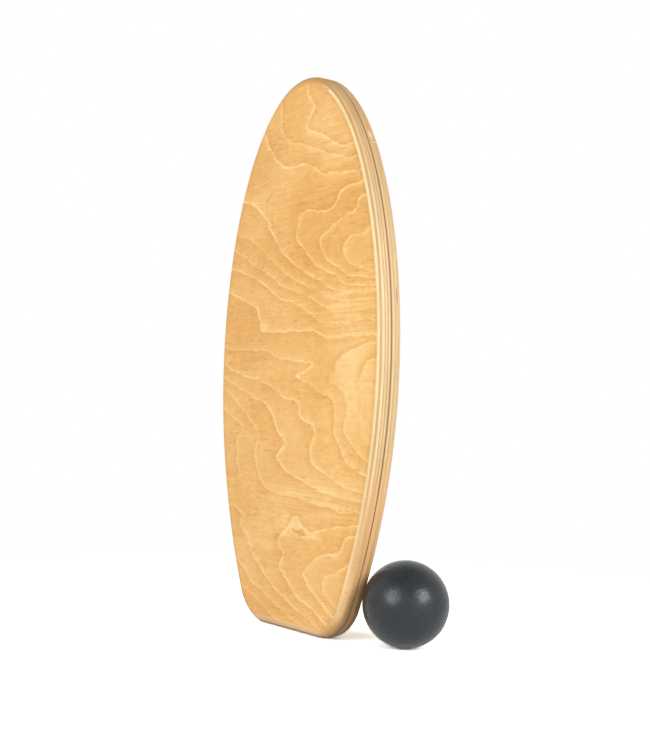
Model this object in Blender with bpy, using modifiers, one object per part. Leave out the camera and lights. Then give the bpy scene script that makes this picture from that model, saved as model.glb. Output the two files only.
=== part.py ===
"""A surf-shaped plywood balance board and its rubber ball, in metres, with +Z up.

The board stands on its flat tail: X runs across it, its face looks along -Y and Z rises from
the tail to the nose. The origin is on the floor, in the middle of the flat band of the tail's
end that the board stands on, between its two rounded edges.
"""

import math

import bmesh
import bpy

# Outline of the board, the same for both plywood layers
BOARD_LENGTH = 0.820
BOARD_WIDTH = 0.420
TAIL_WIDTH = 0.230
WIDEST_HEIGHT = 0.392
TAIL_CORNER = 0.042

# The two plywood layers, glued back to back
DECK_THICKNESS = 0.018
RIM_THICKNESS = 0.018
GLUE_LINE = 0.0003

# Rounded edges: the deck's face, the rim's back, the rim's opening, and the eased edges at the glue line
FACE_ROUND = 0.0127
BACK_ROUND = 0.006
OPENING_ROUND = 0.005
SEAM_EASE = 0.0006

# Wood left around the oval opening, at the widest place, at the tail and at the nose
SIDE_RAIL = 0.065
TAIL_RAIL = 0.150
NOSE_RAIL = 0.170

# The ball, its rest place behind the board's back, and the air between ball and board
BALL_DIAMETER = 0.120
BALL_BEHIND_BACK = 0.034
BALL_CLEARANCE = 0.0003

# Linear colours and roughness of the face wood, the back wood and the ball's rubber
FACE_WOOD = (0.78, 0.47, 0.19), 0.42
BACK_WOOD = (0.72, 0.46, 0.22), 0.48
BALL_RUBBER = (0.055, 0.060, 0.064), 0.55

# How finely the outlines and the rounded edges are divided
CORNER_STEPS = 8
SIDE_STEPS = 14
NOSE_STEPS = 24
OPENING_STEPS = 72
FACE_ROUND_STEPS = 6
SMALL_ROUND_STEPS = 4
BALL_SEGMENTS = 48
BALL_RINGS = 24
CONTACT_STEPS = 400

# The board's front and back, with the origin in the middle of the flat band at the tail's end
BOARD_THICKNESS = DECK_THICKNESS + RIM_THICKNESS
FRONT = -(FACE_ROUND + BOARD_THICKNESS - BACK_ROUND) / 2
BACK = FRONT + BOARD_THICKNESS

BALL_RADIUS = BALL_DIAMETER / 2

# Tolerances for telling caps from sides, sharp edges from smooth ones and the opening from the outline
WELD_DISTANCE = 0.00002
CAP_FACING = 0.9
FLAT_ANGLE = math.radians(1)
EDGE_ANGLE = math.radians(60)
OPENING_MARGIN = 1.02


def clear_scene():
    for thing in list(bpy.data.objects):
        bpy.data.objects.remove(thing, do_unlink=True)


def parts_collection():
    parts = bpy.data.collections.new("surf_balance_board")
    bpy.context.scene.collection.children.link(parts)
    return parts


def painted(name, colour, roughness):
    """A Principled material with a linear colour."""
    material = bpy.data.materials.new(name)
    material.use_nodes = True
    shader = material.node_tree.nodes["Principled BSDF"]
    shader.inputs["Base Color"].default_value = (*colour, 1.0)
    shader.inputs["Roughness"].default_value = roughness
    shader.inputs["Metallic"].default_value = 0.0
    return material


def half_width(height):
    """Half the board's width: a parabola below the widest place, half an ellipse above it."""
    widest = BOARD_WIDTH / 2
    if height > WIDEST_HEIGHT:
        rise = (height - WIDEST_HEIGHT) / (BOARD_LENGTH - WIDEST_HEIGHT)
        return widest * math.sqrt(max(0.0, 1.0 - rise * rise))
    fall = (WIDEST_HEIGHT - height) / WIDEST_HEIGHT
    width = widest - (widest - TAIL_WIDTH / 2) * fall * fall
    if height < TAIL_CORNER:
        side = (TAIL_CORNER - height) / TAIL_CORNER
        width -= TAIL_CORNER * (1.0 - math.sqrt(max(0.0, 1.0 - side * side)))
    return width


def outline_heights():
    """Heights of the outline's points, from the tail up to the nose, closest where it turns most."""
    heights = []
    for step in range(CORNER_STEPS):
        turn = math.pi / 2 * step / CORNER_STEPS
        heights.append(TAIL_CORNER * (1.0 - math.cos(turn)))
    for step in range(SIDE_STEPS):
        heights.append(TAIL_CORNER + (WIDEST_HEIGHT - TAIL_CORNER) * step / SIDE_STEPS)
    for step in range(NOSE_STEPS):
        turn = math.pi / 2 * step / NOSE_STEPS
        heights.append(WIDEST_HEIGHT + (BOARD_LENGTH - WIDEST_HEIGHT) * math.sin(turn))
    return heights


def board_outline():
    """The closed outline as (across, up) points, up the right side and down the left."""
    right = [(half_width(height), height) for height in outline_heights()]
    left = [(-across, height) for across, height in reversed(right)]
    return right + [(0.0, BOARD_LENGTH)] + left


def opening_size():
    """The oval opening's half width, half height and middle height, from the three rails."""
    half_across = BOARD_WIDTH / 2 - SIDE_RAIL
    half_up = (BOARD_LENGTH - TAIL_RAIL - NOSE_RAIL) / 2
    return half_across, half_up, TAIL_RAIL + half_up


def opening_outline():
    """The closed oval of the opening as (across, up) points."""
    half_across, half_up, middle = opening_size()
    turns = [2 * math.pi * step / OPENING_STEPS for step in range(OPENING_STEPS)]
    return [(half_across * math.cos(turn), middle + half_up * math.sin(turn)) for turn in turns]


def on_opening(across, height):
    """True for the middle of an edge of the opening, false for one of the board's outline."""
    half_across, half_up, middle = opening_size()
    return math.hypot(across / half_across, (height - middle) / half_up) < OPENING_MARGIN


def sawn_plate(name, outlines, front, thickness, material, parts):
    """A flat board sawn to its outlines, standing with its front at the given Y."""
    curve = bpy.data.curves.new(name, "CURVE")
    curve.dimensions = "2D"
    curve.fill_mode = "BOTH"
    curve.extrude = thickness / 2
    for outline in outlines:
        spline = curve.splines.new("POLY")
        spline.points.add(len(outline) - 1)
        for point, (across, up) in zip(spline.points, outline):
            point.co = (across, up, 0.0, 1.0)
        spline.use_cyclic_u = True
    drawn = bpy.data.objects.new(name + "_outline", curve)
    parts.objects.link(drawn)
    drawn.rotation_euler = (math.pi / 2, 0.0, 0.0)
    drawn.location = (0.0, front + thickness / 2, 0.0)
    bpy.context.view_layer.update()
    seen = drawn.evaluated_get(bpy.context.evaluated_depsgraph_get())
    mesh = bpy.data.meshes.new_from_object(seen)
    mesh.name = name
    plate = bpy.data.objects.new(name, mesh)
    parts.objects.link(plate)
    plate.matrix_world = drawn.matrix_world.copy()
    bpy.data.objects.remove(drawn, do_unlink=True)
    bpy.data.curves.remove(curve)
    mesh.materials.clear()
    mesh.materials.append(material)
    join_caps(mesh)
    return plate


def join_caps(mesh):
    """Weld the outline's caps to its sides and make each flat side as few faces as it can be."""
    work = bmesh.new()
    work.from_mesh(mesh)
    bmesh.ops.remove_doubles(work, verts=work.verts, dist=WELD_DISTANCE)
    flat = [face for face in work.faces if abs(face.normal.z) > CAP_FACING]
    inner = [edge for edge in work.edges if all(face in flat for face in edge.link_faces)]
    bmesh.ops.dissolve_limit(work, angle_limit=FLAT_ANGLE, verts=[], edges=inner)
    work.to_mesh(mesh)
    work.free()


def round_edges(plate, label, wanted, width, steps):
    """Round the sharp edges for which wanted(across, up, depth) is true, with a Bevel of their own."""
    work = bmesh.new()
    work.from_mesh(plate.data)
    layer = work.edges.layers.float.new(label)
    for edge in work.edges:
        if len(edge.link_faces) != 2 or edge.calc_face_angle() < EDGE_ANGLE:
            continue
        middle = (edge.verts[0].co + edge.verts[1].co) / 2
        if wanted(middle.x, middle.y, middle.z):
            edge[layer] = 1.0
    work.to_mesh(plate.data)
    work.free()
    bevel = plate.modifiers.new(label, "BEVEL")
    bevel.limit_method = "WEIGHT"
    bevel.edge_weight = label
    bevel.width = width
    bevel.segments = steps
    bevel.use_clamp_overlap = False
    bevel.harden_normals = True
    plate.data.shade_smooth()


def add_deck(parts, board, wood):
    """The solid board that the rider stands on, with a large round-over all round its face."""
    thickness = DECK_THICKNESS - GLUE_LINE / 2
    deck = sawn_plate("deck", [board_outline()], FRONT, thickness, wood, parts)
    deck.parent = board
    face_round = min(FACE_ROUND, thickness - 2 * SEAM_EASE)
    round_edges(deck, "face_round", lambda across, up, depth: depth > 0, face_round, FACE_ROUND_STEPS)
    round_edges(deck, "seam_ease", lambda across, up, depth: depth < 0, SEAM_EASE, 1)


def add_rim(parts, board, wood):
    """The second layer behind the deck, open in the middle so that its inner edge stops the ball."""
    thickness = RIM_THICKNESS - GLUE_LINE / 2
    outlines = [board_outline(), opening_outline()]
    rim = sawn_plate("rim", outlines, BACK - thickness, thickness, wood, parts)
    rim.parent = board
    limit = thickness - 2 * SEAM_EASE

    def back_outside(across, up, depth):
        return depth < 0 and not on_opening(across, up)

    def back_inside(across, up, depth):
        return depth < 0 and on_opening(across, up)

    def front_outside(across, up, depth):
        return depth > 0 and not on_opening(across, up)

    round_edges(rim, "back_round", back_outside, min(BACK_ROUND, limit), SMALL_ROUND_STEPS)
    round_edges(rim, "opening_round", back_inside, min(OPENING_ROUND, limit), SMALL_ROUND_STEPS)
    round_edges(rim, "seam_ease", front_outside, SEAM_EASE, 1)


def ball_across():
    """How far right the ball's centre lies when the ball just clears the rim's rounded back edge.

    The rounded edge is a tube round a line that runs BACK_ROUND inside the outline. Each point of
    that line would hold the ball's centre at some distance, and the furthest of them decides.
    """
    reach = BALL_RADIUS + BACK_ROUND + BALL_CLEARANCE
    depth = BALL_BEHIND_BACK + BACK_ROUND
    rise = 2 * reach / CONTACT_STEPS
    furthest = 0.0
    for step in range(CONTACT_STEPS):
        low = rise * step
        high = low + rise
        spread = half_width(high) - half_width(low)
        length = math.hypot(rise, spread)
        across = half_width(high) - BACK_ROUND * rise / length
        height = high + BACK_ROUND * spread / length
        square = reach * reach - depth * depth - (BALL_RADIUS - height) ** 2
        if square > 0:
            furthest = max(furthest, across + math.sqrt(square))
    return furthest


def add_ball(parts, rubber):
    """The solid ball, with its origin at its centre, beside the board on the floor."""
    place = (ball_across(), BACK + BALL_BEHIND_BACK, BALL_RADIUS)
    bpy.ops.mesh.primitive_uv_sphere_add(
        segments=BALL_SEGMENTS, ring_count=BALL_RINGS, radius=BALL_RADIUS, location=place
    )
    ball = bpy.context.active_object
    ball.name = "ball"
    ball.data.name = "ball"
    for collection in list(ball.users_collection):
        collection.objects.unlink(ball)
    parts.objects.link(ball)
    ball.data.materials.append(rubber)
    ball.data.shade_smooth()
    return ball


def main():
    clear_scene()
    parts = parts_collection()
    board = bpy.data.objects.new("board", None)
    parts.objects.link(board)
    add_deck(parts, board, painted("face_wood", *FACE_WOOD))
    add_rim(parts, board, painted("back_wood", *BACK_WOOD))
    ball = add_ball(parts, painted("ball_rubber", *BALL_RUBBER))
    print("ball centre", [round(value, 4) for value in ball.location])


main()
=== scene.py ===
# %% [markdown]
# A surf-shaped balance board
#
# The object is a board of two plywood layers glued back to back, and a solid rubber ball. The rider
# stands on the front layer, the deck. The back layer, the rim, is open in the middle, and its
# inner edge stops the ball that the board rolls on. Here the board stands on its tail and the ball
# lies beside it.
#
# The imported model gives every piece its place and size. This lesson gives the pieces their looks:
# the plies of the wood, the figure of the face and the rubber. First the imported model is loaded as
# a fixed frame.

# %% Load the imported model
import math

import bmesh
import bpy
import numpy as np
from mathutils import Matrix, Vector


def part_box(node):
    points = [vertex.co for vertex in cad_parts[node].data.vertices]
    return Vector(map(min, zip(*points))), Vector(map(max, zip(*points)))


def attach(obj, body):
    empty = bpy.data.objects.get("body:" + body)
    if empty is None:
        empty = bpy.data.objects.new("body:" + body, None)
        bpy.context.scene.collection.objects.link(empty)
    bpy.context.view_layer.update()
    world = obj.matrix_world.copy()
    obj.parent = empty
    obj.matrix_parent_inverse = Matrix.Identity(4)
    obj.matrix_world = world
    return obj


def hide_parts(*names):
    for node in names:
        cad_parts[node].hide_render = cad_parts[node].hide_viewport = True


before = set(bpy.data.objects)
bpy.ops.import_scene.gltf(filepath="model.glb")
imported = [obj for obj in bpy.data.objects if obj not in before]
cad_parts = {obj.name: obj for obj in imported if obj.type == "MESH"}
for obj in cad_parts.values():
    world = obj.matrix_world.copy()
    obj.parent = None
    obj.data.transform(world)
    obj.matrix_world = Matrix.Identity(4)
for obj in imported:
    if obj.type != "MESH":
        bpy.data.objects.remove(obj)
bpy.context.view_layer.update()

# %% [markdown]
# The sizes come from the frame where it has them. A node's box gives the board's length, width and
# thickness and the ball's radius and centre. What a box can't say, such as how round an edge is, is
# written here once as a real size in metres.

# %% Sizes of the board and the ball
deck_low, deck_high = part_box("deck")
rim_low, rim_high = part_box("rim")
ball_low, ball_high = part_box("ball")

BOARD_LENGTH = deck_high.z
BOARD_WIDTH = deck_high.x - deck_low.x
FRONT = deck_low.y
DECK_BACK = deck_high.y - FRONT
RIM_FRONT = rim_low.y - FRONT
BOARD_THICKNESS = rim_high.y - FRONT
BALL_CENTRE = (ball_low + ball_high) / 2
BALL_RADIUS = (ball_high.z - ball_low.z) / 2

TAIL_WIDTH = 0.230
WIDEST_HEIGHT = 0.392
TAIL_CORNER = 0.042
FACE_ROUND = 0.0127
BACK_ROUND = 0.006
OPENING_ROUND = 0.005
SEAM_EASE = 0.0006
SIDE_RAIL = 0.065
TAIL_RAIL = 0.150
NOSE_RAIL = 0.170
print("board", round(BOARD_LENGTH, 3), round(BOARD_WIDTH, 3), round(BOARD_THICKNESS, 4))
print("ball", [round(value, 4) for value in BALL_CENTRE], round(BALL_RADIUS, 4))

# %% [markdown]
# The picture is taken from low down, from the right of the board's face, with the camera almost
# level. A long lens keeps the board's sides nearly straight. The camera is placed first, because
# everything that follows is judged through it. Turning it by its line of sight and then rolling it
# about that line is easier to read than three angles.

# %% Camera
CAMERA_PLACE = Vector((1.5142, -1.0408, 0.3105))
LINE_OF_SIGHT = Vector((-0.8142, 0.5795, 0.0361))
CAMERA_ROLL = math.radians(1.79)
LENS_MM = 59.2
SENSOR_MM = 36.0

camera_data = bpy.data.cameras.new("camera")
camera_data.lens = LENS_MM
camera_data.sensor_width = SENSOR_MM
camera = bpy.data.objects.new("camera", camera_data)
bpy.context.scene.collection.objects.link(camera)
bpy.context.scene.camera = camera
sight = LINE_OF_SIGHT.to_track_quat("-Z", "Y").to_matrix().to_4x4()
camera.matrix_world = Matrix.Translation(CAMERA_PLACE) @ sight @ Matrix.Rotation(CAMERA_ROLL, 4, "Z")
print("camera looks along", [round(value, 3) for value in LINE_OF_SIGHT])

# %% [markdown]
# The outline of a surfboard is one smooth line. Below the widest place each side is a parabola that
# narrows to the tail, above it half an ellipse, and the tail has two round corners. A dense line is
# worked out first and then walked at even steps, so that no stretch of the edge looks faceted.

# %% Outline of the board
OUTLINE_POINTS = 480
DENSE_STEPS = 4000


def half_width(height):
    """Half the board's width at a height above the tail's end."""
    widest = BOARD_WIDTH / 2
    if height > WIDEST_HEIGHT:
        rise = (height - WIDEST_HEIGHT) / (BOARD_LENGTH - WIDEST_HEIGHT)
        return widest * math.sqrt(max(0.0, 1.0 - rise * rise))
    fall = (WIDEST_HEIGHT - height) / WIDEST_HEIGHT
    width = widest - (widest - TAIL_WIDTH / 2) * fall * fall
    if height < TAIL_CORNER:
        side = (TAIL_CORNER - height) / TAIL_CORNER
        width -= TAIL_CORNER * (1.0 - math.sqrt(max(0.0, 1.0 - side * side)))
    return width


def dense_outline():
    """The outline as many (across, up) points, from the tail's middle up the right side and round."""
    turns = np.linspace(0, math.pi, DENSE_STEPS)
    heights = BOARD_LENGTH * (1 - np.cos(turns)) / 2
    right = np.array([(half_width(height), height) for height in heights])
    left = right[::-1] * (-1, 1)
    return np.vstack([(0, 0), right, left[1:], (0, 0)])


def even_walk(line, count):
    """Points at even steps along a closed line, and the directions that point out of it."""
    steps = np.linalg.norm(np.diff(line, axis=0), axis=1)
    walked = np.concatenate([[0], np.cumsum(steps)])
    stops = np.arange(count) * walked[-1] / count
    points = np.stack([np.interp(stops, walked, line[:, axis]) for axis in (0, 1)], axis=1)
    along = np.roll(points, -1, axis=0) - np.roll(points, 1, axis=0)
    along /= np.linalg.norm(along, axis=1)[:, None]
    return points, np.stack([along[:, 1], -along[:, 0]], axis=1)


outline, outwards = even_walk(dense_outline(), OUTLINE_POINTS)
print("outline", len(outline), "points, widest", round(float(outline[:, 0].max()) * 2, 4))

# %% [markdown]
# The opening of the rim is an oval. Each of its points lies on the same ray from the oval's middle
# as a point of the outline, so the two lines can be joined by plain four-sided faces.

# %% Outline of the opening
opening_across = BOARD_WIDTH / 2 - SIDE_RAIL
opening_up = (BOARD_LENGTH - TAIL_RAIL - NOSE_RAIL) / 2
opening_middle = TAIL_RAIL + opening_up
opening_turns = np.arctan2((outline[:, 1] - opening_middle) / opening_up, outline[:, 0] / opening_across)


def opening_loop(outset):
    """The oval as (across, up) points, made larger all round by a distance."""
    across = (opening_across + outset) * np.cos(opening_turns)
    up = opening_middle + (opening_up + outset) * np.sin(opening_turns)
    return np.stack([across, up], axis=1)


print("opening", round(opening_across * 2, 3), "by", round(opening_up * 2, 3))

# %% [markdown]
# A router rounded the edges: a large round-over along the face, a small one along the back, and an
# eased corner on each side of the glue seam. A profile says how far inside the outline the wood lies
# at each depth behind the face. All plies are cut from this one profile, so their edges meet in one
# smooth surface, as they do on a board that was glued first and rounded afterwards.

# %% Profile of the edge
ROUND_STEPS = 28
seam_depth = (DECK_BACK + RIM_FRONT) / 2


def edge_profile():
    """(depth, inset) pairs from the face to the back."""
    turns = np.linspace(0, math.pi / 2, ROUND_STEPS)
    face = np.stack([FACE_ROUND * (1 - np.cos(turns)), FACE_ROUND * (1 - np.sin(turns))], axis=1)
    back_depth = BOARD_THICKNESS - BACK_ROUND + BACK_ROUND * np.sin(turns)
    back = np.stack([back_depth, BACK_ROUND * (1 - np.cos(turns))], axis=1)
    seam = [
        (DECK_BACK - SEAM_EASE, 0.0),
        (DECK_BACK, SEAM_EASE),
        (RIM_FRONT, SEAM_EASE),
        (RIM_FRONT + SEAM_EASE, 0.0),
    ]
    return np.vstack([face, seam, back])


def opening_profile():
    """(depth, outset) pairs of the opening's wall, from the seam to the rounded edge at the back."""
    turns = np.linspace(0, math.pi / 2, ROUND_STEPS)
    depth = BOARD_THICKNESS - OPENING_ROUND + OPENING_ROUND * np.sin(turns)
    wall = np.stack([depth, OPENING_ROUND * (1 - np.cos(turns))], axis=1)
    return np.vstack([[(RIM_FRONT, 0.0)], wall])


def cut_profile(profile, start, stop):
    """The part of a profile between two depths, with a point on each cut."""
    ends = [(depth, np.interp(depth, profile[:, 0], profile[:, 1])) for depth in (start, stop)]
    inside = profile[(profile[:, 0] > start + 1e-6) & (profile[:, 0] < stop - 1e-6)]
    return np.vstack([ends[:1], inside, ends[1:]])


print("profile", len(edge_profile()), "points, seam at", round(seam_depth, 5))

# %% [markdown]
# Every piece of the board is skinned over a stack of closed loops: each loop is joined to the next
# with four-sided faces, and the first and last are closed with a fan, or with each other. Cutting a
# block with Booleans could give the same shape, but loops give clean rows of faces that a figure can
# be painted on point by point.

# %% Loft of loops
SHARP_ANGLE = math.radians(35)


def at_depth(points, depth):
    """(across, up) points as places in the frame, at a depth behind the face."""
    return np.stack([points[:, 0], np.full(len(points), FRONT + depth), points[:, 1]], axis=1)


def loft(name, loops, closed):
    """A mesh object skinned over loops. Open stacks are closed with a fan at each end."""
    count = len(loops[0])
    work = bmesh.new()
    rows = [[work.verts.new(place) for place in loop] for loop in loops]
    pairs = list(zip(rows, rows[1:] + rows[:1])) if closed else list(zip(rows, rows[1:]))
    for near, far in pairs:
        for i in range(count):
            j = (i + 1) % count
            work.faces.new((near[i], near[j], far[j], far[i]))
    if not closed:
        for row, flip in ((rows[0], False), (rows[-1], True)):
            middle = work.verts.new(np.mean([vert.co for vert in row], axis=0))
            for i in range(count):
                corner = (row[(i + 1) % count], row[i], middle)
                work.faces.new(corner[::-1] if flip else corner)
    bmesh.ops.recalc_face_normals(work, faces=work.faces)
    mesh = bpy.data.meshes.new(name)
    work.to_mesh(mesh)
    work.free()
    mesh.shade_smooth()
    mesh.set_sharp_from_angle(angle=SHARP_ANGLE)
    made = bpy.data.objects.new(name, mesh)
    bpy.context.scene.collection.objects.link(made)
    return made


print("loft keeps edges sharp from", round(math.degrees(SHARP_ANGLE)), "degrees")

# %% [markdown]
# Plywood is a stack of thin sheets glued together, and the board shows them all along its edge.
# Stripes painted on one solid block could stand for them, but here each ply is a thin slab of its
# own, so that its wood, its grain and its glue line are really its own. Its loops go out over the
# front, down the edge, and in over the back. On the rim the stack also goes up the wall of the
# opening and meets itself.

# %% Plies with and without an opening
def solid_ply(name, start, stop, front_steps, back_steps):
    """A ply without an opening, between two depths behind the face."""
    edge = cut_profile(edge_profile(), start, stop)
    sides = [at_depth(outline - outwards * inset, depth) for depth, inset in edge]
    middle = np.array([0, 0, opening_middle])

    def cap(side, steps, depth):
        centre = middle + (0, FRONT + depth, 0)
        return [centre + (side - centre) * step / steps for step in range(1, steps)]

    front = cap(sides[0], front_steps, start)
    back = cap(sides[-1], back_steps, stop)
    return loft(name, front + sides + back[::-1], closed=False)


def open_ply(name, start, stop, front_steps, back_steps):
    """A ply of the rim, with the oval opening through it."""
    edge = cut_profile(edge_profile(), start, stop)
    wall = cut_profile(opening_profile(), start, stop)
    sides = [at_depth(outline - outwards * inset, depth) for depth, inset in edge]
    walls = [at_depth(opening_loop(outset), depth) for depth, outset in wall]

    def between(inner, outer, steps):
        return [inner + (outer - inner) * step / steps for step in range(1, steps)]

    front = between(walls[0], sides[0], front_steps)
    back = between(walls[-1], sides[-1], back_steps)
    return loft(name, front + sides + back[::-1] + walls[::-1], closed=True)


print("plies are cut from", OUTLINE_POINTS, "points round")
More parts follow.
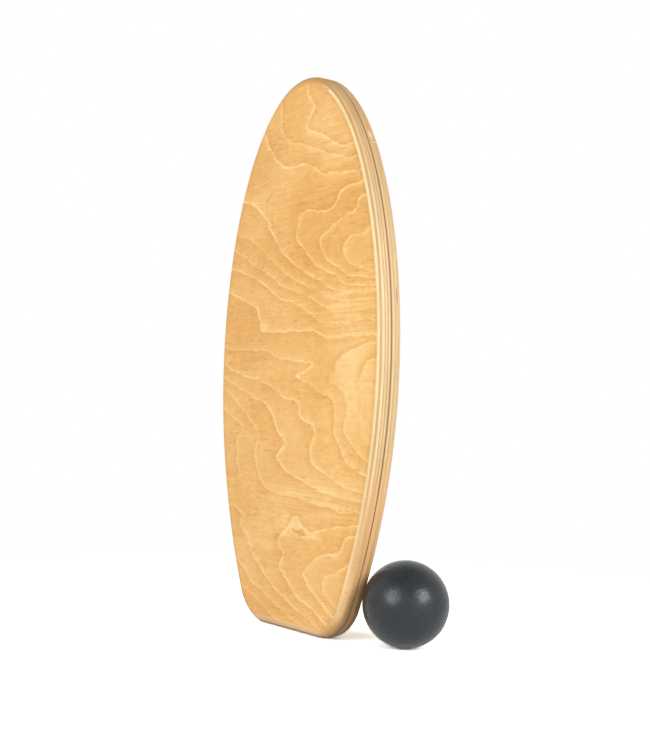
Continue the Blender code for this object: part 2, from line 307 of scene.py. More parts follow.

# %% [markdown]
# The face of birch plywood is a rotary-cut veneer: a knife peels the turning log, and the slice
# wanders in and out of the growth rings. So the figure is like a map, and each pale line on it is
# where the sheet crosses one ring, like a contour line on a hill. Noise alone gives marbling, not
# wood. Here the rings are drawn as a map instead: the ring's number, how boldly its line shows, and
# points (across, up) in millimetres along it, read off the face.

# %% Ring map of the face
RING_LINES = [
    (6, 0.9, [(18, 800), (19, 790), (28, 780), (37, 768), (27, 758), (20, 746), (18, 738), (30, 733),
              (45, 728)]),
    (6, 0.8, [(65, 720), (85, 710), (100, 703), (115, 700), (130, 701)]),
    (6.4, 0.1, [(70, 775), (85, 760), (105, 740), (118, 725)]),
    (6.25, 0.1, [(50, 768), (45, 788)]),
    (5.75, 0.1, [(8, 770), (0, 792), (4, 750)]),
    (5, 0.5, [(-52, 775), (-52, 755), (-45, 742), (-30, 730), (-15, 723), (0, 720), (20, 715), (45, 706),
              (65, 698)]),
    (5, 0.5, [(85, 691), (105, 686), (135, 680)]),
    (4, 0.8, [(-93, 742), (-86, 729), (-74, 717), (-66, 707), (-55, 700), (-42, 691), (-22, 690),
              (-10, 687), (5, 689)]),
    (4, 0.7, [(22, 685), (36, 681), (50, 673), (60, 666), (80, 665), (108, 661), (142, 660)]),
    (3, 0.8, [(152, 643), (130, 641), (115, 638), (103, 632), (98, 622), (90, 616), (77, 612), (50, 614),
              (25, 617)]),
    (3, 0.8, [(10, 616), (3, 610), (3, 598), (-4, 588), (0, 577), (12, 566), (26, 554), (40, 541),
              (55, 533)]),
    (3, 0.6, [(75, 524), (98, 517), (112, 507), (130, 500), (155, 497), (188, 494)]),
    (2, 0.7, [(158, 622), (149, 617), (147, 608), (138, 603), (120, 600), (103, 593), (90, 588),
              (76, 580), (60, 573)]),
    (2, 0.7, [(60, 563), (66, 551), (78, 541), (98, 530), (120, 518), (140, 512), (165, 510), (188, 506)]),
    (1, 0.6, [(175, 577), (165, 570), (145, 570), (132, 567), (121, 561), (117, 552), (121, 541),
              (131, 532)]),
    (1, 0.4, [(145, 526), (162, 521), (187, 514)]),
    (4, 1.0, [(-150, 650), (-138, 648), (-120, 641), (-105, 630), (-93, 620), (-81, 612), (-77, 601),
              (-66, 590)]),
    (4, 0.7, [(-55, 577), (-40, 562), (-20, 548), (0, 536), (20, 528), (40, 519), (60, 512), (77, 503),
              (95, 495)]),
    (4, 0.25, [(120, 491), (150, 488), (190, 487)]),
    (5, 0.4, [(-166, 600), (-140, 594), (-118, 583), (-95, 568), (-72, 554), (-50, 541), (-25, 526),
              (0, 516), (30, 505)]),
    (5, 0.2, [(60, 494), (90, 484), (120, 478), (192, 476)]),
    (6, 0.6, [(-176, 576), (-150, 563), (-118, 548), (-95, 540), (-75, 530), (-57, 520), (-38, 510),
              (-18, 504)]),
    (6, 0.6, [(5, 498), (25, 492), (45, 486), (62, 478)]),
    (6, 0.2, [(80, 470), (100, 464), (140, 462), (194, 462)]),
    (7, 0.7, [(-182, 546), (-150, 538), (-120, 529), (-100, 520), (-78, 511), (-62, 501), (-42, 492),
              (-12, 484)]),
    (7, 0.6, [(10, 477), (30, 469), (48, 459), (64, 451)]),
    (7, 0.25, [(82, 448), (130, 447), (197, 446)]),
    (8, 1.0, [(-188, 508), (-165, 501), (-145, 494), (-125, 487), (-108, 480), (-101, 470), (-95, 458),
              (-92, 446)]),
    (8, 1.0, [(-80, 441), (-50, 440), (-20, 440), (20, 439), (50, 438)]),
    (8, 0.7, [(66, 432), (85, 427), (110, 427), (130, 427), (150, 427), (165, 427), (180, 427),
              (197, 427)]),
    (8.15, 0.3, [(190, 423), (172, 421), (150, 418), (130, 415)]),
    (8.4, 0.1, [(105, 410), (90, 400), (80, 385), (75, 370)]),
    (8, 0.5, [(197, 418), (185, 417), (172, 415), (157, 412), (140, 407), (123, 401), (111, 394),
              (107, 387), (110, 381)]),
    (8, 0.3, [(101, 375), (92, 368), (99, 362), (113, 357), (127, 350), (136, 338), (137, 322),
              (131, 308)]),
    (8, 0.5, [(130, 295), (142, 283), (160, 270), (184, 256)]),
    (7, 0.5, [(198, 395), (184, 393), (176, 386), (169, 378)]),
    (7, 0.2, [(164, 365), (168, 350)]),
    (7, 0.05, [(170, 335), (168, 315), (169, 300), (176, 285)]),
    (9, 0.5, [(-196, 421), (-160, 417), (-135, 415), (-85, 415), (-65, 410), (-45, 402), (-25, 400),
              (-5, 397)]),
    (9, 1.0, [(15, 394), (32, 391), (46, 388), (36, 384), (25, 380), (13, 377), (6, 374), (16, 370),
              (30, 365)]),
    (9.2, 0.5, [(-12, 388), (5, 386), (20, 387), (33, 387), (-12, 374)]),
    (8.8, 0.2, [(24, 374), (40, 377), (55, 385)]),
    (9, 0.5, [(45, 361), (58, 353), (75, 347), (90, 345), (100, 339), (105, 330), (108, 318), (108, 305),
              (108, 290)]),
    (9, 0.7, [(118, 278), (128, 265), (141, 252), (158, 243), (181, 236)]),
    (10, 0.7, [(-199, 398), (-180, 388), (-165, 384), (-150, 378), (-130, 373), (-100, 370), (-80, 365),
               (-60, 358)]),
    (10, 0.6, [(-40, 350), (-26, 342), (-12, 339), (2, 338), (14, 334), (20, 327), (17, 318), (28, 311),
               (45, 305)]),
    (10, 0.8, [(54, 301), (58, 288), (54, 276), (50, 265), (54, 252), (62, 243), (76, 237)]),
    (10, 0.5, [(100, 229), (125, 221), (150, 214), (178, 211)]),
    (11, 0.5, [(-201, 376), (-175, 364), (-150, 355), (-135, 352), (-120, 346), (-103, 341), (-85, 336)]),
    (11, 0.9, [(-70, 330), (-60, 323), (-51, 313), (-43, 301), (-36, 291), (-25, 284), (-19, 277),
               (-21, 267)]),
    (11, 0.9, [(-31, 261), (-38, 253), (-30, 244), (-12, 234), (5, 227), (25, 222), (45, 217), (62, 212)]),
    (11, 0.6, [(90, 206), (120, 203), (176, 199)]),
    (12, 0.5, [(-198, 354), (-176, 346), (-160, 337), (-148, 328), (-120, 311), (-103, 298), (-92, 280),
               (-99, 262)]),
    (12, 0.6, [(-99, 250), (-93, 238), (-88, 228), (-76, 213), (-60, 204), (-43, 199), (-25, 197),
               (20, 197)]),
    (12, 0.4, [(45, 193), (65, 190), (105, 187), (172, 184)]),
    (13, 0.5, [(-196, 324), (-178, 315), (-155, 305), (-140, 297), (-140, 286), (-151, 279), (-153, 271),
               (-149, 260)]),
    (13, 0.6, [(-151, 248), (-149, 238), (-143, 228), (-149, 217), (-163, 213), (-184, 213)]),
    (13, 0.7, [(-172, 169), (-148, 168), (-135, 163), (-130, 155), (-137, 146), (-130, 137), (-118, 129),
               (-108, 122)]),
    (13, 0.7, [(-104, 113), (-100, 106), (-90, 96), (-75, 87), (-64, 77), (-50, 67), (-36, 60), (-18, 52),
               (10, 40)]),
    (13, 0.4, [(45, 28), (75, 18)]),
    (14, 0.6, [(-142, 90), (-122, 80), (-114, 74), (-104, 66), (-94, 58), (-70, 51), (-50, 42), (-20, 31)]),
    (14, 0.3, [(20, 18), (45, 10)]),
    (15, 0.4, [(-128, 48), (-100, 42), (-75, 33), (-45, 20)]),
    (12.7, 0.1, [(-165, 192), (-150, 192), (-180, 196)]),
    (13.4, 0.1, [(-172, 240), (-165, 262), (-172, 285)]),
    (13.35, 0.1, [(-155, 150), (-146, 128), (-160, 160)]),
    (12, 0.8, [(162, 166), (140, 163), (120, 161), (106, 159), (90, 156), (76, 152), (62, 149),
               (51, 150.5)]),
    (12, 1.0, [(42, 153), (35, 157), (29, 162), (22, 167), (13, 166), (8, 162), (3, 155), (-3, 149),
               (-14, 142)]),
    (12, 1.0, [(-23, 134), (-26, 124), (-20, 117), (-13, 112)]),
    (12, 0.9, [(-14, 104), (-19, 97), (-20, 88), (-11, 81), (0, 74), (10, 65), (20, 56), (38, 48),
               (60, 42), (85, 30)]),
    (12.3, 0.1, [(30, 176), (-8, 171), (-22, 150), (95, 172), (-40, 130)]),
    (12, 0.9, [(9, 148), (19, 150), (29, 149), (42, 146), (50, 143), (38, 140.7), (28, 140.5),
               (17, 142.5), (9, 145)]),
    (12.45, 0.2, [(17, 146.5), (29, 145), (40, 143.5)]),
    (11.75, 0.5, [(2, 146), (15, 156), (28, 154), (42, 149.5), (61, 144)]),
    (11.65, 0.4, [(28, 135), (60, 139), (-8, 132)]),
    (11.45, 0.2, [(50, 130), (10, 122), (85, 138), (30, 122)]),
    (11.3, 0.2, [(65, 123), (95, 135), (40, 108)]),
    (11, 0.9, [(157, 152), (142, 146), (136, 137), (128, 127), (109, 122), (87, 118), (70, 111),
               (57, 101), (41, 89)]),
    (11, 0.8, [(48, 80), (58, 70), (72, 60), (90, 51), (110, 39), (125, 30)]),
    (10, 0.6, [(148, 112), (130, 101), (111, 94), (96, 87), (92, 76), (97, 65), (109, 56), (128, 46)]),
]
print("ring map", len(RING_LINES), "lines,", sum(len(line) for _, _, line in RING_LINES), "points")

# %% [markdown]
# Between the drawn points the relief is a thin-plate spline. It is the shape that a thin steel sheet
# takes when it is pinned at some points: it goes through each of them and bends as little as it can
# in between. No node makes one, so its weights are found here once, by solving one set of equations.
# Places are then looked up in parts, which keeps the tables of distances small. How boldly a line
# shows is only an average of the points near by, in which the nearer ones count for more.

# %% Relief between the rings
MAP_UNIT = 100.0
MAP_PARTS = 40
BOLD_REACH = 0.06


def ring_points():
    """The map's points, ring numbers and boldness as arrays."""
    rows = [(*point, number, bold) for number, bold, line in RING_LINES for point in line]
    table = np.array(rows, float)
    return table[:, :2] / MAP_UNIT, table[:, 2], table[:, 3]


def square_distance(first, second):
    return ((first[:, None] - second[None]) ** 2).sum(axis=2)


def plate_kernel(first, second):
    """How much each point bends the relief at each place."""
    square = square_distance(first, second)
    return square * np.log(np.maximum(square, 1e-12))


map_points, map_numbers, map_bold = ring_points()


def fit_relief():
    """The weights of the spline that passes through every point of the map."""
    plane = np.hstack([np.ones((len(map_points), 1)), map_points])
    whole = np.block([[plate_kernel(map_points, map_points), plane], [plane.T, np.zeros((3, 3))]])
    return np.linalg.solve(whole, np.concatenate([map_numbers, np.zeros(3)]))


relief_weights = fit_relief()


def ring_number(places):
    """The relief at places given as (across, up) in metres."""
    places = places * 1000 / MAP_UNIT
    parts = np.array_split(places, MAP_PARTS)
    bend = [plate_kernel(part, map_points) @ relief_weights[:-3] for part in parts]
    return np.concatenate(bend) + relief_weights[-3] + places @ relief_weights[-2:]


def boldness(places):
    """How boldly lines show at places given as (across, up) in metres."""
    places = places * 1000 / MAP_UNIT
    found = []
    for part in np.array_split(places, MAP_PARTS):
        near = 1 / (square_distance(part, map_points) + BOLD_REACH ** 2) ** 2
        found.append(near @ map_bold / near.sum(axis=1))
    return np.concatenate(found)


tail_middle = np.array([[0.0, 0.0]])
print("at the tail's middle the ring's number is", round(float(ring_number(tail_middle)[0]), 2))

# %% [markdown]
# Here and there the veneer is paler or darker, or its streaks are stronger. Those places are soft
# round patches on the same map: middle and half-size in millimetres, and a strength.

# %% Pale and streaky patches
PALE_PATCHES = [
    ((150, 385), (48, 32), 0.80),
    ((165, 330), (36, 60), 0.58),
    ((98, 318), (34, 52), 0.42),
    ((118, 478), (30, 22), 0.55),
    ((120, 552), (14, 14), 0.60),
    ((-83, 449), (12, 9), 0.90),
    ((28, 388), (28, 8), 0.55),
    ((14, 157), (26, 8), 0.70),
    ((48, 150), (20, 5), 0.80),
    ((64, 144), (12, 6), 0.80),
    ((-8, 142), (14, 14), 0.60),
    ((75, 215), (80, 20), 0.30),
    ((90, 690), (40, 22), 0.35),
    ((-120, 645), (25, 14), 0.30),
    ((50, 740), (30, 18), 0.20),
    ((30, 260), (120, 120), 0.12),
]
DARK_PATCHES = [
    ((-145, 622), (25, 28), 0.30),
    ((-90, 530), (60, 22), 0.24),
    ((-150, 462), (45, 28), 0.32),
    ((-175, 545), (22, 50), 0.24),
    ((-10, 640), (70, 25), 0.16),
    ((90, 560), (30, 14), 0.22),
    ((110, 612), (35, 14), 0.16),
    ((70, 500), (35, 16), 0.18),
    ((-90, 400), (50, 22), 0.14),
    ((-30, 25), (80, 12), 0.26),
    ((-90, 180), (18, 20), 0.08),
    ((-170, 300), (20, 80), 0.06),
    ((80, 100), (40, 22), 0.10),
    ((30, 145), (20, 4), 0.60),
]
STREAKY_PATCHES = [
    ((150, 465), (60, 32), 1.0),
    ((90, 700), (70, 28), 0.6),
    ((60, 195), (110, 28), 0.8),
    ((-140, 400), (60, 25), 0.5),
    ((30, 480), (80, 20), 0.4),
    ((-60, 120), (40, 40), 0.4),
    ((0, 640), (90, 30), 0.4),
]
PATCH_SOFTNESS = 1.4


def patch_sum(places, patches):
    """The sum of soft patches at places given as (across, up) in metres."""
    total = np.zeros(len(places))
    for middle, half, strength in patches:
        reach = (places * 1000 - middle) / half
        total += strength * np.exp(-(reach ** 2).sum(axis=1) / PATCH_SOFTNESS)
    return np.minimum(total, 1.0)


print(len(PALE_PATCHES), "pale,", len(DARK_PATCHES), "dark,", len(STREAKY_PATCHES), "streaky patches")

# %% [markdown]
# The shader needs a few things at each point of a veneer: the ring's number there, how many metres
# one ring takes up, so that every pale line can be drawn equally thin, how bold the line is, the
# patches, and how far it is to the board's edge. They go into the mesh as attributes. The veneers
# at the back come from the same log. They show other stretches of the map, turned over and a little
# enlarged, so that no figure on the board is seen twice.

# %% Figure attributes
GRADIENT_STEP = 0.001
NARROWEST_RING = 0.005
WIDEST_RING = 0.080
FACE_STRETCH = (1.0, 1.0), 0.0
DECK_BACK_STRETCH = (-0.90, 0.85), 0.120
RIM_BACK_STRETCH = (-0.90, -0.80), 0.826


def set_attribute(mesh, name, values):
    layer = mesh.attributes.new(name, "FLOAT", "POINT")
    layer.data.foreach_set("value", np.asarray(values, np.float32))


def vertex_places(mesh):
    places = np.zeros(len(mesh.vertices) * 3)
    mesh.vertices.foreach_get("co", places)
    return places.reshape(-1, 3)


def add_figure(piece, stretch):
    """Write what the veneer finish needs into a veneer's mesh, from one stretch of the map."""
    mesh = piece.data
    flat = vertex_places(mesh)[:, [0, 2]]
    scale, start = stretch
    on_map = flat * scale + (0.0, start)
    rings = ring_number(on_map)
    across = ring_number(on_map + (GRADIENT_STEP, 0)) - rings
    up = ring_number(on_map + (0, GRADIENT_STEP)) - rings
    width = GRADIENT_STEP / np.maximum(np.hypot(across, up), 1e-6)
    edge = np.full(len(flat), np.inf)
    for corner in outline:
        edge = np.minimum(edge, np.hypot(*(flat - corner).T))
    set_attribute(mesh, "ring", rings)
    set_attribute(mesh, "ring_width", np.clip(width, NARROWEST_RING, WIDEST_RING))
    set_attribute(mesh, "bold", boldness(on_map))
    set_attribute(mesh, "pale", patch_sum(on_map, PALE_PATCHES))
    set_attribute(mesh, "dark", patch_sum(on_map, DARK_PATCHES))
    set_attribute(mesh, "streaky", patch_sum(on_map, STREAKY_PATCHES))
    set_attribute(mesh, "to_edge", edge)
    return rings.min(), rings.max()


print("rings are from", NARROWEST_RING, "to", WIDEST_RING, "m wide")

# %% [markdown]
# A material is a tree of nodes. These short helpers add one node each, so that a finish further down
# reads like a recipe. A value is a number, which is set on the node, or another node's output, which
# is linked to it. The wood, the rubber, the floor and the room are all made with them.

# %% Node helpers
class NodeKit:
    """Short ways to add nodes to a tree."""

    def __init__(self, tree):
        self.tree = tree

    def node(self, kind, operation=None):
        made = self.tree.nodes.new(kind)
        if operation:
            made.operation = operation
        return made

    def feed(self, socket, value):
        """Link a node's output to a socket, or set a number on it."""
        if isinstance(value, bpy.types.NodeSocket):
            self.tree.links.new(value, socket)
        else:
            socket.default_value = value

    def maths(self, operation, *values):
        made = self.node("ShaderNodeMath", operation)
        for socket, value in zip(made.inputs, values):
            self.feed(socket, value)
        return made.outputs[0]

    def product(self, *values):
        result = values[0]
        for value in values[1:]:
            result = self.maths("MULTIPLY", result, value)
        return result

    def total(self, *values):
        result = values[0]
        for value in values[1:]:
            result = self.maths("ADD", result, value)
        return result

    def one_minus(self, value):
        return self.maths("SUBTRACT", 1.0, value)

    def ramp(self, value, start, stop, low=0.0, high=1.0):
        """Goes smoothly from low to high as value goes from start to stop."""
        made = self.node("ShaderNodeMapRange")
        made.interpolation_type = "SMOOTHSTEP"
        for socket, given in zip(made.inputs, (value, start, stop, low, high)):
            self.feed(socket, given)
        return made.outputs[0]

    def shade(self, colour, amount):
        """A colour made lighter or darker by a factor."""
        made = self.node("ShaderNodeVectorMath", "SCALE")
        self.feed(made.inputs[0], colour)
        self.feed(made.inputs["Scale"], amount)
        return made.outputs[0]


print("node helpers ready")

# %% [markdown]
# Wood and rubber get their colour variation, grain and bumps from patterns that Blender works out at
# each point: noise, small dots, and soft spots at given places. An image could show them too, but it
# would have to be wrapped round every edge, and it blurs close up. Every coordinate is the piece's
# own, in metres, so the grain stays in the wood when the piece moves.

# %% Pattern helpers
class PatternKit(NodeKit):
    """Patterns laid out in the piece's own coordinates."""

    def __init__(self, tree):
        super().__init__(tree)
        coordinates = self.node("ShaderNodeTexCoord")
        self.place = coordinates.outputs["Object"]
        self.normal = coordinates.outputs["Normal"]

    def split(self, vector):
        made = self.node("ShaderNodeSeparateXYZ")
        self.feed(made.inputs[0], vector)
        return made.outputs

    def attribute(self, name):
        made = self.node("ShaderNodeAttribute")
        made.attribute_name = name
        return made.outputs["Fac"]

    def stretched(self, stretch, offset=(0, 0, 0)):
        """The piece's coordinates, stretched along each axis and moved."""
        made = self.node("ShaderNodeMapping")
        self.feed(made.inputs["Vector"], self.place)
        self.feed(made.inputs["Scale"], stretch)
        self.feed(made.inputs["Location"], offset)
        return made.outputs[0]

    def noise(self, stretch, detail=2.0, roughness=0.5, offset=(0, 0, 0)):
        """Cloudy noise between 0 and 1, with stretch spots to the metre along each axis."""
        made = self.node("ShaderNodeTexNoise")
        self.feed(made.inputs["Vector"], self.stretched(stretch, offset))
        self.feed(made.inputs["Scale"], 1.0)
        self.feed(made.inputs["Detail"], detail)
        self.feed(made.inputs["Roughness"], roughness)
        return made.outputs[0]

    def around(self, noise, swing):
        """Noise that swings this far to either side of zero."""
        return self.ramp(noise, 0.30, 0.70, -swing, swing)

    def dots(self, stretch, share, size, offset=(0, 0, 0)):
        """Small separate spots, in a share of the cells that stretch gives."""
        made = self.node("ShaderNodeTexVoronoi")
        self.feed(made.inputs["Vector"], self.stretched(stretch, offset))
        self.feed(made.inputs["Scale"], 1.0)
        chosen = self.ramp(made.outputs["Color"], share, share * 0.9)
        return self.product(chosen, self.ramp(made.outputs["Distance"], size, size * 0.4))

    def spot(self, up, depth, half_up, half_depth):
        """One soft spot on the right side's edge, at a height and a depth behind the face."""
        across, back, height = self.split(self.place)
        far_up = self.maths("DIVIDE", self.maths("SUBTRACT", height, up), half_up)
        far_back = self.maths("DIVIDE", self.maths("SUBTRACT", back, FRONT + depth), half_depth)
        squares = self.maths("MULTIPLY_ADD", far_up, far_up, self.product(far_back, far_back))
        return self.product(self.ramp(squares, 1.0, 0.3), self.ramp(across, 0.0, 0.01))


print("pattern helpers ready")

# %% [markdown]
# A finish is a Principled material: one shader that stands for lacquered wood as well as for rubber,
# depending on its colour, roughness and specular level. A mix of simpler shaders could do the same,
# but this one keeps its gloss physically right and carries over to other programs.

# %% Finish helpers
class Finish(PatternKit):
    """A Principled material and short ways to give it a colour, bumps and gloss."""

    def __init__(self, name):
        self.material = bpy.data.materials.new(name)
        self.material.use_nodes = True
        super().__init__(self.material.node_tree)
        self.shader = self.tree.nodes["Principled BSDF"]

    def mix(self, amount, first, second):
        """From the first colour to the second."""
        made = self.node("ShaderNodeMix")
        made.data_type = "RGBA"
        self.feed(made.inputs[0], amount)
        for socket, colour in zip(made.inputs[6:8], (first, second)):
            self.feed(socket, (*colour, 1.0) if isinstance(colour, tuple) else colour)
        return made.outputs[2]

    def scale_of(self, value, stops):
        """A colour from a scale of (position, colour) stops."""
        made = self.node("ShaderNodeValToRGB")
        marks = made.color_ramp.elements
        for _ in stops[2:]:
            marks.new(0.5)
        for mark, (position, colour) in zip(marks, stops):
            mark.position = position
            mark.color = (*colour, 1.0)
        self.feed(made.inputs[0], value)
        return made.outputs[0]

    def bump(self, height, distance, strength):
        made = self.node("ShaderNodeBump")
        self.feed(made.inputs["Strength"], strength)
        self.feed(made.inputs["Distance"], distance)
        self.feed(made.inputs["Height"], height)
        self.feed(self.shader.inputs["Normal"], made.outputs[0])

    def finish(self, colour, roughness, specular):
        self.feed(self.shader.inputs["Base Color"], colour)
        self.feed(self.shader.inputs["Roughness"], roughness)
        self.feed(self.shader.inputs["Specular IOR Level"], specular)
        return self.material


print("finish helpers ready")

# %% [markdown]
# The lines on the veneer are where the ring's number is a whole one. The part of the number behind
# the decimal point therefore tells how far a place has come from one line to the next, and with the
# ring's width that becomes metres. A little noise is added to the number first, so that the lines
# wander and tremble as real ones do: a line drawn straight from the spline looks like ink. Dark
# dashes and flecks lie in zones and mostly stay off the pale patches.

# %% Rings in the veneer
RINGS_BELOW = 100.0
WANDER = 0.0011
TREMBLE = 0.0004


def ring_position(wood, offset):
    """How far through its ring a point is, from 0 to 1, and its metres past and before a line."""
    width = wood.attribute("ring_width")
    wander = wood.around(wood.noise((75, 75, 90), 2.0, 0.55, offset), WANDER)
    tremble = wood.around(wood.noise((260, 260, 320), 1.0, 0.5, offset), TREMBLE)
    shift = wood.maths("DIVIDE", wood.total(wander, tremble), width)
    phase = wood.maths("FRACT", wood.total(wood.attribute("ring"), shift, RINGS_BELOW))
    return phase, wood.product(phase, width), wood.product(wood.one_minus(phase), width)


def dash_zones(wood, offset):
    """Where the veneer has dark dashes and flecks: in zones, and few on its pale patches."""
    zones = wood.ramp(wood.noise((20, 20, 26), 2.0, 0.5, (offset[0], 5.0, 2.0)), 0.38, 0.60, 0.10, 1.0)
    return wood.product(zones, wood.ramp(wood.attribute("pale"), 0.0, 0.8, 1.0, 0.25))


print("lines wander by", WANDER, "m and tremble by", TREMBLE, "m")

# %% [markdown]
# The face veneer is birch, a golden tan. It is darker just past each line and slowly pales towards
# the next one, which makes soft steps of tone. The log lay across the board, so its fibres run
# across it, and so do the streaks and the dashes. How pale the wood is at a point is summed up from
# many small parts as one number, and only then turned into a colour, because real wood keeps to one
# scale of colours, from brown to cream. Mixing many colours over each other soon looks muddy.

# %% Tone of the veneer
MIDDLE_TONE = 0.44
CLOUDS = [
    ((9, 9, 12), 3.0, 0.5, 0.15),
    ((55, 55, 110), 5.0, 0.7, 0.11),
    ((130, 130, 700), 3.0, 0.7, 0.10),
]
PAST_TONES = (0.020, 0.0, 0.0, -0.20)
BEFORE_TONES = (0.012, 0.0, 0.0, 0.20)
LOWER_PAINTED_LIGHT = (0.32, 0.05, 0.0, 0.14)
DARK_PATCH_TONE = -0.52
PALE_PATCH_TONE = 0.46
DASH_TONE = -0.45
PALE_DASH_TONE = 0.14
EDGE_TONE = -0.12
EDGE_REACH = 0.0038
EDGE_START = 0.0027


def veneer_tone(wood, rings, zones, offset, round_over):
    """How pale the wood is, from about 0 to 1."""
    phase, past, before = rings
    bold = wood.attribute("bold")
    to_edge = wood.attribute("to_edge")
    height = wood.split(wood.place)[2]
    clouds = [wood.around(wood.noise(*pattern, offset), swing) for *pattern, swing in CLOUDS]
    streaks = wood.around(wood.noise((7, 7, 190), 3.0, 0.65, offset), 1.0)
    streak_swing = wood.total(0.05, wood.product(wood.attribute("streaky"), 0.22))
    step = wood.total(0.25, wood.product(bold, 0.60))
    far_side = wood.product(wood.ramp(phase, 0.0, 0.45, 0.75, 0.0), wood.ramp(bold, 0.10, 0.50))
    dashes = wood.ramp(wood.noise((62, 62, 480), 2.0, 0.5, offset), 0.60, 0.68)
    pale_dashes = wood.ramp(wood.noise((55, 55, 430), 2.0, 0.5, (offset[0], 8.0, 3.0)), 0.58, 0.70)
    edge_band = wood.ramp(to_edge, round_over + EDGE_REACH, round_over, 0.0, EDGE_TONE)
    return wood.total(
        MIDDLE_TONE,
        *clouds,
        wood.product(streaks, streak_swing),
        wood.product(wood.ramp(past, *PAST_TONES), step),
        wood.product(wood.ramp(before, *BEFORE_TONES), step),
        # painted light: the veneer is made paler towards the tail
        wood.ramp(height, *LOWER_PAINTED_LIGHT),
        wood.product(wood.attribute("dark"), DARK_PATCH_TONE),
        wood.product(wood.attribute("pale"), PALE_PATCH_TONE, wood.one_minus(far_side)),
        wood.product(dashes, zones, DASH_TONE),
        wood.product(pale_dashes, PALE_DASH_TONE),
        wood.product(wood.ramp(to_edge, round_over - EDGE_START, round_over), edge_band),
    )


print(len(CLOUDS), "kinds of cloud around the tone", MIDDLE_TONE)

# %% [markdown]
# On the tone lie the pale lines themselves, which are crisp on one side and soft on the other and
# fade out here and there, and small brown flecks. Where the round-over begins, the wood is a little
# darker, and at the tail's very end a cream band is painted in, a painted highlight along the bottom
# round-over. A clear satin lacquer covers it all. It follows the fibres, so both the bump and the
# gloss are stretched along them.

# %% Face veneer finish
WOOD_TONES = [
    (0.00, (0.700, 0.325, 0.072)),
    (0.25, (0.780, 0.400, 0.108)),
    (0.50, (0.840, 0.468, 0.143)),
    (0.75, (0.893, 0.548, 0.200)),
    (1.00, (0.945, 0.632, 0.268)),
]
PALE_LINE = (0.975, 0.690, 0.310)
FLECK_BROWN = (0.480, 0.215, 0.060)
TAIL_HIGHLIGHT_CREAM = (0.920, 0.625, 0.340)
TAIL_HIGHLIGHT_HEIGHTS = (0.0165, 0.0085)
CRISP_SIDE = (0.0012, 0.0003)
SOFT_SIDE = 0.0004
EDGE_SHADE_REACH = 0.0033
EDGE_SHADE = 0.94


def veneer_finish(name, offset, round_over):
    """Rotary-cut birch under satin lacquer, drawn from the figure attributes."""
    wood = Finish(name)
    rings = ring_position(wood, offset)
    zones = dash_zones(wood, offset)
    colour = wood.scale_of(veneer_tone(wood, rings, zones, offset, round_over), WOOD_TONES)
    edge_start = round_over + EDGE_SHADE_REACH
    edge_shade = wood.ramp(wood.attribute("to_edge"), edge_start, round_over, 1.0, EDGE_SHADE)
    colour = wood.shade(colour, edge_shade)

    _, past, before = rings
    bold = wood.attribute("bold")
    line_reach = wood.total(0.0020, wood.product(bold, 0.0018))
    line = wood.maths("MAXIMUM", wood.ramp(past, *CRISP_SIDE), wood.ramp(before, line_reach, SOFT_SIDE))
    broken = wood.ramp(wood.noise((30, 30, 60), 3.0, 0.6, (3.0, offset[0], 1.0)), 0.36, 0.60, 0.25, 1.0)
    colour = wood.mix(wood.product(bold, broken, line), colour, PALE_LINE)
    flecks = wood.dots((140, 140, 420), 0.22, 0.30, offset)
    colour = wood.mix(wood.product(zones, 0.20, flecks), colour, FLECK_BROWN)
    height = wood.split(wood.place)[2]
    # painted highlight: a cream band along the tail's bottom round-over
    colour = wood.mix(wood.ramp(height, *TAIL_HIGHLIGHT_HEIGHTS, 0.0, 0.75), colour, TAIL_HIGHLIGHT_CREAM)

    wood.bump(wood.noise((60, 60, 900), 2.0, 0.6, offset), 0.00012, 0.5)
    gloss = wood.noise((16, 16, 330), 2.0, 0.6, offset)
    return wood.finish(colour, wood.ramp(gloss, 0.3, 0.7, 0.40, 0.50), 0.42)


face_finish = veneer_finish("face_veneer_lacquered", (0.0, 0.0, 0.0), FACE_ROUND)
back_finish = veneer_finish("back_veneer_lacquered", (7.0, 3.0, 5.0), BACK_ROUND)
print("veneer finishes", face_finish.name, back_finish.name)

# %% [markdown]
# The edge isn't one colour all along the board. Low down it is a warm tan, towards the nose it gets
# browner, and the nose's very top is the deepest brown, its darkness partly painted shade where the
# edge turns to face up. Near the tail the front plies are made lighter with painted light, and at its
# end they take the face's tan and a cream band of painted highlight, while the back ones are browned
# beside the ball, partly scuff and partly painted shade, and the last millimetres above the floor are
# darkened with painted shade. Each zone is a pair of heights, or of depths behind the face, between
# which it comes in, and a strength at each. Painting the plies by hand could do the same, but zones in
# metres stay right on every ply.

# %% Ply tones along the board
TAIL_TAN = (0.810, 0.465, 0.185)
NOSE_TAN = (0.740, 0.410, 0.155)
NOSE_TOP_BROWN_SHADE = (0.670, 0.345, 0.075)
SHADE_AND_SCUFF_BROWN = (0.290, 0.125, 0.038)
FACE_TAN = WOOD_TONES[2][1]
INNER_DEPTHS = (0.0014, 0.0026)
TAN_HEIGHTS, TAN_DEPTHS = (0.31, 0.13, 0.0, 0.75), (0.001, 0.004, 0.2, 1.0)
NOSE_HEIGHTS = (0.54, 0.76, 0.0, 0.50)
NOSE_TOP_SHADE_HEIGHTS = (0.785, 0.806, 0.0, 0.80)
DARKER_HEIGHTS = [(0.44, 0.66, 0.0, 0.13), (0.66, 0.79, 0.0, 0.06)]
TAIL_PAINTED_LIGHT_HEIGHTS, TAIL_PAINTED_LIGHT_DEPTHS = (0.12, 0.07, 0.0, 0.22), (0.029, 0.022)
TAIL_END_HEIGHTS, TAIL_END_DEPTHS = (0.040, 0.018), (0.0085, 0.0045, 0.0, 0.85)
TAIL_HIGHLIGHT_DEPTHS = (0.0070, 0.0035)
SHADE_AND_SCUFF_HEIGHTS, SHADE_AND_SCUFF_DEPTHS = (0.15, 0.06), (0.020, 0.031, 0.0, 0.50)
FOOT_SHADE_HEIGHTS = (0.0050, 0.0012, 0.0, 0.90)


